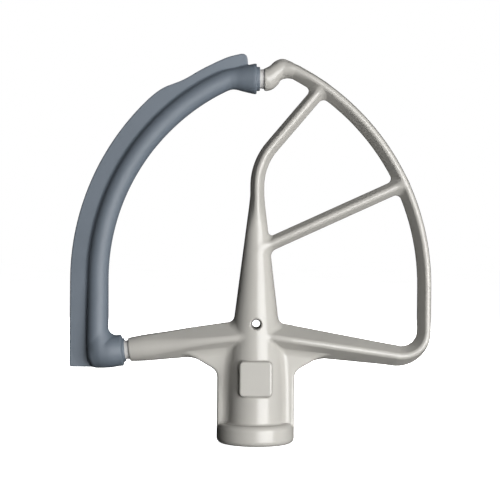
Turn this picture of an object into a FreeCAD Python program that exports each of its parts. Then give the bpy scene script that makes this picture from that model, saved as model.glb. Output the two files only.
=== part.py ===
# Flat beater for a stand mixer, with a flexible wiping edge along one side.
# Units are millimetres.  +Z runs up the hub axis away from the mixer shaft, the
# blade of the beater lies in the XZ plane, and -Y is the face that carries the
# raised pad.  The origin is the centre of the hub's open end.
#
# Two physical pieces:
#   beater_frame  one coated aluminium die casting: hub, ribs, spine, two arms,
#                 rim, cross bar, and a slim bar on the left that carries the edge
#   flex_edge     soft wiping edge, moulded in place around that slim bar
import FreeCAD, Part
import math
import os

import Sketcher
from FreeCAD import Vector

doc = FreeCAD.newDocument("flat_beater")

# ---------------------------------------------------------------- dimensions
DIMS = [
    # hub
    ("collar_radius", 17.4, "outside radius of the collar at the open end"),
    ("collar_height", 8.9, "height of the collar"),
    ("collar_round", 2.25, "rounding of the collar's lower edge"),
    ("collar_top_round", 2.4, "rounding of the collar's upper edge"),
    ("barrel_foot_radius", 13.05, "radius of the hub barrel above the collar"),
    ("barrel_top_radius", 12.79, "radius of the barrel where the conical spine starts"),
    ("barrel_top", 32.4, "height where the barrel turns into the conical spine"),
    ("barrel_foot_round", 1.2, "fillet between barrel and collar"),
    ("spine_top_radius", 3.2, "radius of the spine where it becomes a plain bar"),
    ("spine_top", 109.7, "height where the spine becomes a plain bar"),
    ("spine_tip_radius", 2.0, "radius of the spine's tip inside that bar"),
    ("spine_tip", 117.0, "height of the spine's tip inside that bar"),
    # ribs beside the barrel
    ("rib_half_width", 17.3, "half width over the two ribs"),
    ("rib_thickness", 7.2, "thickness of the ribs"),
    ("rib_top", 46.0, "height up to which the ribs run inside the arms"),
    ("rib_foot", 4.0, "height at which the ribs start inside the collar"),
    ("gusset_reach", 33.0, "distance from the axis where the gusset ends inside the arm"),
    ("gusset_top", 41.2, "height where the gusset ends inside the arm"),
    ("gusset_corner", 32.1, "height where the gusset would meet the rib's edge"),
    ("gusset_round", 5.0, "rounding between gusset and rib edge"),
    ("rib_edge_round", 1.1, "rounding of the ribs' outer edges"),
    ("rib_fillet", 2.2, "fillet between ribs and barrel"),
    ("rib_fillet_top", 45.4, "height at which that fillet ends inside the arms"),
    # raised pad on the front of the barrel
    ("pad_width", 14.5, "width of the raised pad"),
    ("pad_low", 21.7, "lower edge of the raised pad"),
    ("pad_high", 37.2, "upper edge of the raised pad"),
    ("pad_front", 13.75, "distance of the pad's face from the axis"),
    ("pad_corner", 1.8, "corner radius of the pad"),
    ("pad_round", 0.7, "rounding of the pad's rim"),
    # cross drain hole at the foot of the spine
    ("drain_radius", 1.7, "radius of the drain hole"),
    ("drain_z", 53.5, "height of the drain hole"),
    ("drain_round", 0.55, "rounding of the drain hole's two mouths"),
    # shaft socket with bayonet slot
    ("bore_radius", 6.5, "radius of the shaft socket"),
    ("bore_depth", 49.5, "depth of the parallel part of the socket"),
    ("bore_tip", 4.4, "depth of the conical end of the socket"),
    ("bore_tip_radius", 1.2, "radius at the end of the conical part"),
    ("bore_mouth", 0.8, "chamfer at the mouth of the socket"),
    ("slot_width", 5.2, "width of the pin slot"),
    ("slot_radius", 9.4, "radius reached by the pin slot"),
    ("slot_depth", 27.0, "depth of the pin slot"),
    ("slot_turn", 60.0, "angle through which the pin turns, degrees"),
    ("slot_hook", 2.4, "depth of the seat the pin drops into"),
    # arms, rim and bars: a faceted section with rounded ridges
    ("arm_root_z", 48.2, "height of the arms' centre line at the axis"),
    ("arm_root_half", 7.42, "half height of the arms at the axis"),
    ("arm_root_depth", 9.2, "half depth of the arms at the axis"),
    ("right_near_x", 16.0, "station of the right arm near the hub, across"),
    ("right_near_z", 45.98, "station of the right arm near the hub, height"),
    ("right_near_half", 6.75, "half height of the right arm there"),
    ("right_near_depth", 9.9, "half depth of the right arm there"),
    ("right_mid_x", 30.0, "middle station of the right arm, across"),
    ("right_mid_z", 44.04, "middle station of the right arm, height"),
    ("right_mid_half", 6.12, "half height of the right arm there"),
    ("right_mid_depth", 9.25, "half depth of the right arm there"),
    ("right_end_x", 57.5, "last straight station of the right arm, across"),
    ("right_end_z", 40.29, "last straight station of the right arm, height"),
    ("right_end_half", 4.82, "half height of the right arm there"),
    ("right_end_depth", 7.2, "half depth of the right arm there"),
    ("right_slope", 7.77, "fall of the right arm, degrees"),
    ("left_mid_x", -30.0, "middle station of the left arm, across"),
    ("left_mid_z", 44.68, "middle station of the left arm, height"),
    ("left_mid_half", 6.56, "half height of the left arm there"),
    ("left_mid_depth", 7.6, "half depth of the left arm there"),
    ("left_end_x", -57.0, "end face of the left arm, across"),
    ("left_end_z", 41.17, "end face of the left arm, height"),
    ("left_slope", 7.16, "fall of the left arm, degrees"),
    ("arm_round", 1.8, "rounding of the arms' ridges"),
    ("bar_half", 3.15, "half width of cross bar and spine bar"),
    ("arm_crest", 0.44, "height of the right arm's front and back ridges above its centre line"),
    ("rim_depth", 5.75, "half depth of the rim"),
    ("rim_round", 1.35, "rounding of the rim's ridges"),
    ("rim_crest", 1.0, "distance of the rim's front and back ridges outside its centre line"),
    ("bar_depth", 4.55, "half depth of cross bar and spine bar"),
    ("bar_round", 1.3, "rounding of the bars' ridges"),
    ("corner_cx", 64.55, "centre of the rim's lower corner, across"),
    ("corner_cz", 50.65, "centre of the rim's lower corner, height"),
    ("corner_radius", 10.9, "centre line radius of that corner beside the rim"),
    ("corner_radius_low", 11.28, "centre line radius of that corner beside the arm"),
    ("rim_out_cx", -32.58, "centre of the rim's outer arc, across"),
    ("rim_out_cz", 70.60, "centre of the rim's outer arc, height"),
    ("rim_out_radius", 111.24, "radius of the rim's outer arc"),
    ("rim_in_cx", -31.55, "centre of the rim's inner arc, across"),
    ("rim_in_cz", 70.76, "centre of the rim's inner arc, height"),
    ("rim_in_radius", 103.87, "radius of the rim's inner arc"),
    ("boss_radius", 5.3, "radius of the two bosses that meet the flexible edge"),
    ("boss_x", 2.73, "end face of the upper boss, across"),
    ("boss_z", 163.4, "axis height of the upper boss"),
    ("cross_x", 34.64, "point on the cross bar's centre line, across"),
    ("cross_z", 102.36, "point on the cross bar's centre line, height"),
    ("cross_slope", 24.8, "rise of the cross bar, degrees"),
    ("cross_back", 35.6, "length of the cross bar from that point to the spine"),
    ("cross_on", 33.7, "length of the cross bar from that point to the rim"),
    ("upper_slope", 50.0, "rise of the spine bar's upper part, degrees"),
    ("upper_corner_z", 125.3, "height where that part would meet the hub axis"),
    ("upper_bend", 27.0, "bend radius of the spine bar"),
    ("upper_length", 44.58, "length of the spine bar from that meeting point"),
    ("joint_fillet", 2.2, "fillet where bars meet rim and spine"),
    ("arm_fillet", 1.2, "fillet where the arms meet the spine"),
    # slim bar of the casting inside the flexible edge
    ("neck_slope", 5.5, "fall of the lower neck's axis, degrees"),
    ("neck_radius", 4.3, "radius of the bare necks between boss and flexible edge"),
    ("neck_length", 7.5, "length of each neck"),
    ("core_radius", 3.0, "radius of the slim bar inside the flexible edge"),
    ("edge_cx", 27.65, "centre of the edge's arc, across"),
    ("edge_cz", 73.33, "centre of the edge's arc, height"),
    ("edge_radius", 98.7, "radius of the edge's centre line"),
    ("edge_bend", 15.75, "bend radius near the upper end"),
    ("edge_corner", 4.6, "bend radius at the lower corner"),
    # flexible edge
    ("tube_radius", 4.5, "radius of the rounded spine of the flexible edge"),
    ("cuff_radius", 6.93, "radius of the two end cuffs"),
    ("lip_radius", 5.4, "radius of the thin lip outside each cuff"),
    ("upper_cuff_x", -0.69, "outer face of the upper cuff, across"),
    ("upper_lip", 1.48, "length of the upper lip"),
    ("upper_flare", 6.3, "length of the flare behind the upper cuff"),
    ("upper_plain", 1.1, "length of the parallel part of the upper cuff"),
    ("lower_gap", 1.8, "bare length of the lower neck"),
    ("lower_lip", 1.2, "length of the lower lip"),
    ("lower_cuff", 15.6, "length of the lower cuff"),
    ("lower_cuff_round", 4.0, "rounding of the lower cuff's closed end"),
    ("blade_cx", 28.82, "centre of the wiping edge's arc, across"),
    ("blade_cz", 72.79, "centre of the wiping edge's arc, height"),
    ("blade_radius", 112.72, "radius of the wiping edge's arc"),
    ("blade_thickness", 2.2, "thickness of the wiping blade"),
    ("blade_low", 33.2, "lower end of the blade"),
    ("blade_fillet", 2.4, "fillet between blade and rounded spine"),
    ("blade_edge", 0.7, "rounding of the wiping edge"),
]
sheet = doc.addObject("Spreadsheet::Sheet", "dims")
for i, (name, value, note) in enumerate(DIMS, 1):
    sheet.set(f"A{i}", name)
    sheet.set(f"B{i}", str(value))
    sheet.set(f"C{i}", note)
    sheet.setAlias(f"B{i}", name)
doc.recompute()


def d(name):
    return float(sheet.get(name))


def at(x, z, y=0.0):
    return Vector(x, y, z)


def rad(deg):
    return math.radians(deg)


# ------------------------------------------------------------ sketch helpers
def origin_plane(body, role):
    return next(f for f in body.Origin.OriginFeatures if f.Role == role)


def value_of(expr):
    """Value of one signed name or number, such as '-pad_width' or '0'."""
    sign = -1.0 if expr.startswith("-") else 1.0
    word = expr.lstrip("-")
    half = word.endswith("/2")
    word = word[:-2] if half else word
    try:
        value = float(word)
    except ValueError:
        value = d(word)
    return sign * value * (0.5 if half else 1.0)


def polygon_sketch(body, name, role, corners):
    """Closed polygon whose corners are held by the sheet, as (across, up) names."""
    sk = body.newObject("Sketcher::SketchObject", name)
    sk.AttachmentSupport = [(origin_plane(body, role), "")]
    sk.MapMode = "FlatFace"
    pts = [(value_of(a), value_of(b)) for a, b in corners]
    n = len(pts)
    for i in range(n):
        a, b = pts[i], pts[(i + 1) % n]
        sk.addGeometry(Part.LineSegment(Vector(a[0], a[1], 0), Vector(b[0], b[1], 0)), False)
    for i in range(n):
        sk.addConstraint(Sketcher.Constraint("Coincident", i, 2, (i + 1) % n, 1))
    for i in range(n):
        for kind, axis, value, expr in (
            ("DistanceX", -2, pts[i][0], corners[i][0]),
            ("DistanceY", -1, pts[i][1], corners[i][1]),
        ):
            if abs(value) < 1e-9:
                sk.addConstraint(Sketcher.Constraint("PointOnObject", i, 1, axis))
                continue
            ends = (-1, 1, i, 1) if value > 0 else (i, 1, -1, 1)
            k = sk.addConstraint(Sketcher.Constraint(kind, *ends, abs(value)))
            word = expr.lstrip("-")
            if not word.replace(".", "").isdigit():
                sk.setExpression(f"Constraints[{k}]", "dims." + word)
    return sk


def symmetric(feature):
    if hasattr(feature, "SideType"):
        feature.SideType = "Symmetric"
    else:
        feature.Midplane = True


def edges_where(shape, test):
    return [f"Edge{i}" for i, e in enumerate(shape.Edges, 1) if test(e)]


def round_edges(body, base, name, test, radius):
    doc.recompute()
    names = edges_where(base.Shape, test)
    if not names:
        raise RuntimeError(f"{name}: no edge found")
    f = body.newObject("PartDesign::Fillet", name)
    f.Base = (base, names)
    f.setExpression("Radius", "dims." + radius)
    doc.recompute()
    if not f.isValid() or f.Shape.isNull() or not f.Shape.isValid():
        raise RuntimeError(f"{name}: failed on {names}")
    return f


def ring_at(z, radius):
    def test(e):
        c = e.Curve
        return (
            isinstance(c, Part.Circle)
            and abs(c.Center.z - z) < 1e-4
            and abs(c.Radius - radius) < 1e-4
        )

    return test


# ------------------------------------------------ hub, ribs, pad and spine body
hub = doc.addObject("PartDesign::Body", "hub_body")
profile = polygon_sketch(hub, "hub_profile", "XZ_Plane", [
    ("0", "0"), ("collar_radius", "0"), ("collar_radius", "collar_height"),
    ("barrel_foot_radius", "collar_height"), ("barrel_top_radius", "barrel_top"),
    ("spine_top_radius", "spine_top"), ("spine_tip_radius", "spine_tip"), ("0", "spine_tip"),
])
# the profile stands between rib and pad, so that the turned faces start clear of both
profile.AttachmentOffset = FreeCAD.Placement(Vector(0, 0, 0), FreeCAD.Rotation(Vector(0, 1, 0), 52))
turned = hub.newObject("PartDesign::Revolution", "hub_turned")
turned.Profile = profile
turned.ReferenceAxis = (profile, ["V_Axis"])
turned.Angle = 360
round_edges(hub, turned, "collar_lower_round", ring_at(0.0, d("collar_radius")), "collar_round")
round_edges(hub, hub.Tip, "collar_upper_round", ring_at(d("collar_height"), d("collar_radius")), "collar_top_round")
round_edges(hub, hub.Tip, "barrel_foot_fillet", ring_at(d("collar_height"), d("barrel_foot_radius")), "barrel_foot_round")

pad_sketch = polygon_sketch(hub, "pad_outline", "XZ_Plane", [
    ("-pad_width/2", "pad_low"), ("pad_width/2", "pad_low"),
    ("pad_width/2", "pad_high"), ("-pad_width/2", "pad_high"),
])
raised = hub.newObject("PartDesign::Pad", "raised_pad")
raised.Profile = pad_sketch
raised.setExpression("Length", "dims.pad_front")
doc.recompute()
if not any(abs(v.Point.y + d("pad_front")) < 1e-4 for v in raised.Shape.Vertexes):
    raised.Reversed = True
    doc.recompute()


def is_line_y(e, x, z):
    """Straight edge along Y at the given distance from the axis and height."""
    if not isinstance(e.Curve, Part.Line) and not isinstance(e.Curve, Part.LineSegment):
        return False
    a, b = e.Vertexes[0].Point, e.Vertexes[-1].Point
    return (
        abs(abs(a.x) - x) < 1e-3 and abs(abs(b.x) - x) < 1e-3
        and abs(a.z - z) < 1e-3 and abs(b.z - z) < 1e-3
    )


def on_front(e):
    return all(abs(v.Point.y + d("pad_front")) < 1e-4 for v in e.Vertexes)


round_edges(hub, hub.Tip, "pad_corner_fillet",
            lambda e: is_line_y(e, d("pad_width") / 2, d("pad_low")) or is_line_y(e, d("pad_width") / 2, d("pad_high")),
            "pad_corner")
round_edges(hub, hub.Tip, "pad_rim_fillet", on_front, "pad_round")


# ------------------------------------------------------------ ribs and gussets
def rib_body(side, sign):
    body = doc.addObject("PartDesign::Body", f"rib_{side}_body")
    sk = polygon_sketch(body, f"rib_{side}_outline", "XZ_Plane", [
        ("0", "rib_foot"), (sign + "rib_half_width", "rib_foot"),
        (sign + "rib_half_width", "gusset_corner"), (sign + "gusset_reach", "gusset_top"),
        (sign + "gusset_reach", "rib_top"), ("0", "rib_top"),
    ])
    f = body.newObject("PartDesign::Pad", f"rib_{side}")
    f.Profile = sk
    symmetric(f)
    f.setExpression("Length", "dims.rib_thickness")
    round_edges(body, f, f"gusset_{side}_fillet",
                lambda e: is_line_y(e, d("rib_half_width"), d("gusset_corner")), "gusset_round")

    def on_rim(e):
        p = e.valueAt((e.FirstParameter + e.LastParameter) / 2)
        return (
            all(abs(abs(v.Point.y) - d("rib_thickness") / 2) < 1e-3 for v in e.Vertexes)
            and abs(abs(p.y) - d("rib_thickness") / 2) < 1e-3
            and abs(p.x) > d("rib_half_width") - 0.01
            and p.z < d("gusset_top") - 0.05
        )

    round_edges(body, body.Tip, f"rib_{side}_rim_fillet", on_rim, "rib_edge_round")
    return body


rib_right = rib_body("right", "")
rib_left = rib_body("left", "-")


# ------------------------------------------------------------ arms, rim and bars
def section(x, z, slope, half, depth, ridge, crest=0.0):
    """Faceted section square to a bar that runs at the given slope in the XZ plane:
    four flats between rounded ridges, of the given half width and half depth. The
    front and back ridges stand to the left of the centre line by the crest."""
    t = rad(slope)
    across = Vector(-math.sin(t), 0, math.cos(t))
    deep = Vector(0, 1, 0)
    centre = at(x, z)
    a, b = half - ridge, depth - ridge
    corners = [(a, 0.0), (crest, b), (-a, 0.0), (crest, -b)]
    normals = []
    for (u0, v0), (u1, v1) in zip(corners, corners[1:] + corners[:1]):
        run = math.hypot(u1 - u0, v1 - v0)
        normals.append(((v1 - v0) / run, (u0 - u1) / run))

    def pt(corner, normal):
        return centre + across * (corner[0] + ridge * normal[0]) + deep * (corner[1] + ridge * normal[1])

    edges = []
    # four ridges, each an arc and the flat that follows it
    for i, corner in enumerate(corners):
        n0, n1 = normals[i - 1], normals[i]
        size = math.hypot(n0[0] + n1[0], n0[1] + n1[1])
        middle = ((n0[0] + n1[0]) / size, (n0[1] + n1[1]) / size)
        edges.append(Part.Arc(pt(corner, n0), pt(corner, middle), pt(corner, n1)).toShape())
        edges.append(Part.LineSegment(pt(corner, n1), pt(corners[(i + 1) % 4], n1)).toShape())
    return Part.Wire(edges)


def loft(name, stations):
    shape = Part.makeLoft([section(*s) for s in stations], True, False, False, 3)
    obj = doc.addObject("Part::Feature", name)
    obj.Shape = shape
    obj.Placement = FreeCAD.Placement()
    return obj


def mix(a, b, k):
    return a + (b - a) * k


arm_round, bar_round, bar_depth = d("arm_round"), d("bar_round"), d("bar_depth")
rim_depth, rim_round, rim_crest = d("rim_depth"), d("rim_round"), d("rim_crest")
arm_crest = d("arm_crest")

# right arm, lower corner, rim, and the hooked boss at the top
right = [
    (0.0, d("arm_root_z"), -d("right_slope"), d("arm_root_half"), d("arm_root_depth"), arm_round, arm_crest),
    (d("right_near_x"), d("right_near_z"), -d("right_slope"), d("right_near_half"), d("right_near_depth"), arm_round, arm_crest),
    (d("right_mid_x"), d("right_mid_z"), -d("right_slope"), d("right_mid_half"), d("right_mid_depth"), arm_round, arm_crest),
    (d("right_end_x"), d("right_end_z"), -d("right_slope"), d("right_end_half"), d("right_end_depth"), arm_round * 0.8,
     arm_crest * 0.6),
]
CORNER = [(-91, 4.55), (-78, 4.27), (-65, 4.01), (-52, 3.78), (-39, 3.57), (-26, 3.39), (-13, 3.25)]
for ang, half in CORNER:
    k = (ang + 91) / 91
    r = mix(d("corner_radius_low"), d("corner_radius"), k)
    right.append((
        d("corner_cx") + r * math.cos(rad(ang)), d("corner_cz") + r * math.sin(rad(ang)),
        ang + 90, half, mix(d("right_end_depth") - 0.3, rim_depth, min(1, k * 1.2)), mix(arm_round * 0.78, rim_round, k),
        mix(arm_crest * 0.5, -rim_crest, k),
    ))


def rim_station(ang):
    c, s = math.cos(rad(ang)), math.sin(rad(ang))
    ox, oz = d("rim_out_cx") + d("rim_out_radius") * c, d("rim_out_cz") + d("rim_out_radius") * s
    ix, iz = d("rim_in_cx") + d("rim_in_radius") * c, d("rim_in_cz") + d("rim_in_radius") * s
    half = math.hypot(ox - ix, oz - iz) / 2
    return ((ox + ix) / 2, (oz + iz) / 2, ang + 90, half, rim_depth, rim_round, -rim_crest)


x0, z0, _, half0 = rim_station(0)[:4]
for z in (d("corner_cz"), mix(d("corner_cz"), z0, 0.34), mix(d("corner_cz"), z0, 0.67)):
    right.append((x0, z, 90, half0, rim_depth, rim_round, -rim_crest))
for ang in (0, 5, 10, 16, 22, 28, 34, 40, 46, 51, 55.5, 59.5):
    right.append(rim_station(ang))
boss = d("boss_radius")
TOP = [  # across, height, slope seen from the rim, half width, half depth, ridge, crest
    (17.14, 166.38, 153.2, 3.36, 5.6, 1.5, -0.85),
    (14.4, 167.35, 159.5, 3.73, 5.45, 1.9, -0.7),
    (12.0, 167.85, 176.0, 4.33, 5.2, 2.5, -0.45),
    (9.75, 167.55, 201.0, 4.43, 5.05, 3.0, -0.2),
    (7.75, 166.2, 216.0, 4.05, 4.95, 3.2, 0.0),
    (5.9, 164.6, 210.0, 4.7, 5.05, 3.8, 0.0),
]
right += TOP
ridge = boss * 0.84
right.append((d("boss_x") + 1.1, d("boss_z") + 0.1, 184.0, boss, boss, ridge))
right.append((d("boss_x"), d("boss_z"), 180.0, boss, boss, ridge))
right_arm = loft("right_arm", right[0:4])
right_corner = loft("right_corner", right[3:12])
right_rim = loft("right_rim", right[11:26])
right_hook = loft("right_hook", right[25:])

# left arm, ending in a round boss
sl = d("left_slope")
left = [
    (0.0, d("arm_root_z"), 180 + sl, d("arm_root_half"), d("arm_root_depth"), arm_round),
    (d("left_mid_x"), d("left_mid_z"), 180 + sl, d("left_mid_half"), d("left_mid_depth"), arm_round * 1.3),
]
for dist, half, depth, rg in ((15.0, 6.15, 6.55, 3.6), (8.0, 5.95, 6.1, 4.4), (3.0, 5.6, 5.65, 4.6)):
    left.append((d("left_end_x") + dist * math.cos(rad(sl)), d("left_end_z") + dist * math.sin(rad(sl)),
                 180 + sl, half, depth, rg))
left.append((d("left_end_x"), d("left_end_z"), 180 + sl, boss, boss, ridge))
left_arm = loft("left_arm", left)

# spine bar: straight up the axis, a bend, then straight to the rim
us, ub = d("upper_slope"), d("upper_bend")
tangent = ub * math.tan(rad((90 - us) / 2))
bend_low = d("upper_corner_z") - tangent


def bar_station(x, z, slope):
    return (x, z, slope, d("bar_half"), bar_depth, bar_round)


def bend_station(k):
    ang = (90 - us) * k
    return bar_station(ub - ub * math.cos(rad(ang)), bend_low + ub * math.sin(rad(ang)), 90 - ang)


def upper_station(dist):
    return bar_station(dist * math.cos(rad(us)), d("upper_corner_z") + dist * math.sin(rad(us)), us)


spine_low = loft("spine_bar_low", [bar_station(0.0, d("spine_top") - 16.0, 90), bend_station(0)])
spine_bend = loft("spine_bar_bend", [bend_station(k / 6) for k in range(7)])
spine_bar = loft("spine_bar_top", [upper_station(tangent), upper_station(d("upper_length"))])

# cross bar between spine and rim
cs = d("cross_slope")
cross_bar = loft("cross_bar", [
    (d("cross_x") + t * math.cos(rad(cs)), d("cross_z") + t * math.sin(rad(cs)), cs, d("bar_half"), bar_depth, bar_round)
    for t in (-d("cross_back"), d("cross_on"))
])

# slim bar that carries the flexible edge, with a neck at each end
ecx, ecz, er, eb = d("edge_cx"), d("edge_cz"), d("edge_radius"), d("edge_bend")
bend_z = d("boss_z") - eb
reach = math.sqrt((er - eb) ** 2 - (bend_z - ecz) ** 2)
bend_x = ecx - reach
join = at(ecx - reach * er / (er - eb), ecz + (bend_z - ecz) * er / (er - eb))
straight_x = ecx - er
ns = d("neck_slope")
axis = Vector(math.cos(rad(ns)), 0, math.sin(rad(ns)))
end = at(d("left_end_x"), d("left_end_z"))
meet = end + axis * ((straight_x - end.x) / axis.x)
turn = d("edge_corner") * math.tan(rad((90 + ns) / 2))
low_a = meet + Vector(0, 0, turn)
low_b = meet + axis * turn
low_c = at(straight_x + d("edge_corner"), low_a.z)
low_m = low_c + Vector(-math.cos(rad((90 + ns) / 2)), 0, -math.sin(rad((90 + ns) / 2))) * d("edge_corner")
mid_bend = math.atan2(join.z - bend_z, join.x - bend_x)
mid_bend = (mid_bend + math.pi / 2) / 2
mid_arc = (math.atan2(join.z - ecz, join.x - ecx) + math.pi) / 2


def core_path(start_x, stop):
    """Centre line of the slim bar from the upper end to a point near the left arm."""
    return Part.Wire([
        Part.LineSegment(at(start_x, d("boss_z")), at(bend_x, d("boss_z"))).toShape(),
        Part.Arc(at(bend_x, d("boss_z")),
                 at(bend_x + eb * math.cos(mid_bend), bend_z + eb * math.sin(mid_bend)), join).toShape(),
        Part.Arc(join, at(ecx + er * math.cos(mid_arc), ecz + er * math.sin(mid_arc)), at(straight_x, ecz)).toShape(),
        Part.LineSegment(at(straight_x, ecz), low_a).toShape(),
        Part.Arc(low_a, low_m, low_b).toShape(),
        Part.LineSegment(low_b, stop).toShape(),
    ])


def feature(name, shape):
    obj = doc.addObject("Part::Feature", name)
    obj.Shape = shape
    obj.Placement = FreeCAD.Placement()
    return obj


def swept(name, radius, start_x, stop):
    path = core_path(start_x, stop)
    ring = Part.Wire(Part.makeCircle(radius, at(start_x, d("boss_z")), Vector(1, 0, 0)))
    return feature(name, path.makePipeShell([ring], True, False))


core = swept("core_bar", d("core_radius"), d("boss_x") + 1.0, end + axis * 1.5)


def rod(name, radius, length, base, direction):
    obj = doc.addObject("Part::Cylinder", name)
    obj.setExpression("Radius", "dims." + radius)
    if isinstance(length, str):
        obj.setExpression("Height", length)
    else:
        obj.Height = length
    obj.Placement = FreeCAD.Placement(base, FreeCAD.Rotation(Vector(0, 0, 1), direction))
    return obj



def rib_web(name, sign):
    """Upright fillets where a rib's two faces run into the barrel."""
    t, r = d("rib_thickness") / 2, d("rib_fillet")
    big = d("barrel_top_radius") - 0.05
    cy = t + r
    cx = math.sqrt((big + r) ** 2 - cy ** 2)
    k = big / (big + r)
    ang = math.atan2(cy * k - cy, cx * k - cx)
    half = (ang - math.pi / 2) / 2 if ang > 0 else (ang + 2 * math.pi + 1.5 * math.pi) / 2
    z = d("rib_foot")

    def p(x, y):
        return Vector(sign * x, y, z)

    def hollow(side):
        return Part.Arc(p(cx * k, side * cy * k), p(cx + r * math.cos(half), side * (cy + r * math.sin(half))), p(cx, side * t))

    wire = Part.Wire([
        Part.LineSegment(p(0, cy * k), p(cx * k, cy * k)).toShape(), hollow(1).toShape(),
        Part.LineSegment(p(cx, t), p(cx, -t)).toShape(), hollow(-1).toShape(),
        Part.LineSegment(p(cx * k, -cy * k), p(0, -cy * k)).toShape(),
        Part.LineSegment(p(0, -cy * k), p(0, cy * k)).toShape(),
    ])
    return feature(name, Part.Face(wire).extrude(Vector(0, 0, d("rib_fillet_top") - z)))


web_right = rib_web("rib_web_right", 1)
web_left = rib_web("rib_web_left", -1)

upper_neck = rod("upper_neck", "neck_radius", "dims.neck_length + 1", at(d("boss_x") + 1.0, d("boss_z")), Vector(-1, 0, 0))
lower_neck = rod("lower_neck", "neck_radius", "dims.neck_length + 1", end + axis * 1.0, axis * -1)
doc.recompute()

blank = doc.addObject("Part::MultiFuse", "casting_blank")
blank.Shapes = [hub, rib_right, rib_left, web_right, web_left, right_arm, right_corner, right_rim, right_hook,
                left_arm, spine_low, spine_bend, spine_bar, cross_bar, core, upper_neck, lower_neck]
blank.Refine = False
doc.recompute()


# ------------------------------------------------------------ fillets at the joints
def lies_on(edge, shape, tol=2e-3):
    for k in (0.1, 0.37, 0.63, 0.9):
        p = edge.valueAt(edge.FirstParameter + k * (edge.LastParameter - edge.FirstParameter))
        if min(Part.Vertex(p).distToShape(f)[0] for f in shape.Faces) > tol:
            return False
    return True


def joint_edges(shape, first, second):
    near = first.BoundBox.intersected(second.BoundBox)
    near.enlarge(1.0)
    found = []
    for i, e in enumerate(shape.Edges, 1):
        if e.Length < 1e-3 or not near.isInside(e.BoundBox.Center):
            continue
        if lies_on(e, first) and lies_on(e, second):
            found.append(i)
    return found


def joint_fillet(name, base, first, second, radius):
    edges = joint_edges(base.Shape, first.Shape, second.Shape)
    f = doc.addObject("Part::Fillet", name)
    f.Base = base
    f.Edges = [(i, d(radius), d(radius)) for i in edges]
    doc.recompute()
    ok = f.isValid() and not f.Shape.isNull() and f.Shape.isValid() and len(f.Shape.Solids) == 1
    print(name, edges, ok, round(f.Shape.Volume - base.Shape.Volume, 1) if ok else "")
    if not ok:
        doc.removeObject(f.Name)
        return base
    return f


casting = blank
casting = joint_fillet("cross_bar_rim_fillet", casting, cross_bar, right_rim, "joint_fillet")
casting = joint_fillet("cross_bar_spine_fillet", casting, cross_bar, hub, "joint_fillet")
casting = joint_fillet("spine_bar_rim_fillet", casting, spine_bar, right_rim, "joint_fillet")
casting = joint_fillet("right_arm_spine_fillet", casting, right_arm, hub, "arm_fillet")
casting = joint_fillet("left_arm_spine_fillet", casting, left_arm, hub, "arm_fillet")


# ------------------------------------------------------------ shaft socket and drain
def primitive(kind, name, sizes, base=Vector(0, 0, 0), turn_to=None):
    obj = doc.addObject(kind, name)
    for prop, expr in sizes.items():
        obj.setExpression(prop, expr)
    rot = FreeCAD.Rotation(Vector(0, 0, 1), turn_to) if turn_to is not None else FreeCAD.Rotation()
    obj.Placement = FreeCAD.Placement(base, rot)
    return obj


def joined(name, parts):
    obj = doc.addObject("Part::MultiFuse", name)
    obj.Shapes = parts
    obj.Refine = False
    return obj


socket = primitive("Part::Cylinder", "socket_bore", {"Radius": "dims.bore_radius", "Height": "dims.bore_depth + 1"}, Vector(0, 0, -1))
socket_end = primitive("Part::Cone", "socket_end",
                       {"Radius1": "dims.bore_radius", "Radius2": "dims.bore_tip_radius", "Height": "dims.bore_tip"},
                       Vector(0, 0, d("bore_depth")))
socket_mouth = primitive("Part::Cone", "socket_mouth",
                         {"Radius1": "dims.bore_radius + dims.bore_mouth + 0.5", "Radius2": "dims.bore_radius",
                          "Height": "dims.bore_mouth + 0.5"}, Vector(0, 0, -0.5))
# pin slot: straight in, round by a part turn, then back into a seat
slot_in = primitive("Part::Box", "slot_in", {"Length": "dims.slot_radius + 2", "Width": "dims.slot_width", "Height": "dims.slot_depth + 1"},
                    Vector(0, -d("slot_width") / 2, -1))
slot_round = primitive("Part::Cylinder", "slot_round",
                       {"Radius": "dims.slot_radius", "Height": "dims.slot_width", "Angle": "dims.slot_turn"},
                       Vector(0, 0, d("slot_depth") - d("slot_width")))
slot_seat = primitive("Part::Box", "slot_seat",
                      {"Length": "dims.slot_radius + 2", "Width": "dims.slot_width", "Height": "dims.slot_width + dims.slot_hook"})
quarter = FreeCAD.Rotation(Vector(0, 0, 1), d("slot_turn"))
slot_seat.Placement = FreeCAD.Placement(
    quarter.multVec(Vector(0, -d("slot_width") / 2, 0)) + Vector(0, 0, d("slot_depth") - d("slot_width") - d("slot_hook")), quarter)
slot_all = joined("slot_all", [slot_in, slot_round, slot_seat])
slot_limit = primitive("Part::Cylinder", "slot_limit", {"Radius": "dims.slot_radius", "Height": "dims.slot_depth + 2"}, Vector(0, 0, -1))
slot = doc.addObject("Part::Common", "pin_slot")
slot.Base = slot_all
slot.Tool = slot_limit
drain = primitive("Part::Cylinder", "drain_hole", {"Radius": "dims.drain_radius", "Height": "40"}, Vector(0, 20, d("drain_z")), Vector(0, -1, 0))
hollows = joined("hollows", [socket, socket_end, socket_mouth, slot, drain])
machined = doc.addObject("Part::Cut", "casting_open")
machined.Base = casting
machined.Tool = hollows
machined.Refine = False
doc.recompute()
print("machined", machined.Shape.isValid(), len(machined.Shape.Solids), casting.Shape.Volume - machined.Shape.Volume)


def at_drain_mouth(e):
    pts = [e.valueAt(e.FirstParameter + k * (e.LastParameter - e.FirstParameter) / 6) for k in range(7)]
    return all(
        abs(math.hypot(p.x, p.z - d("drain_z")) - d("drain_radius")) < 1e-3 and abs(p.y) > d("bore_radius") for p in pts
    )


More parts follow.
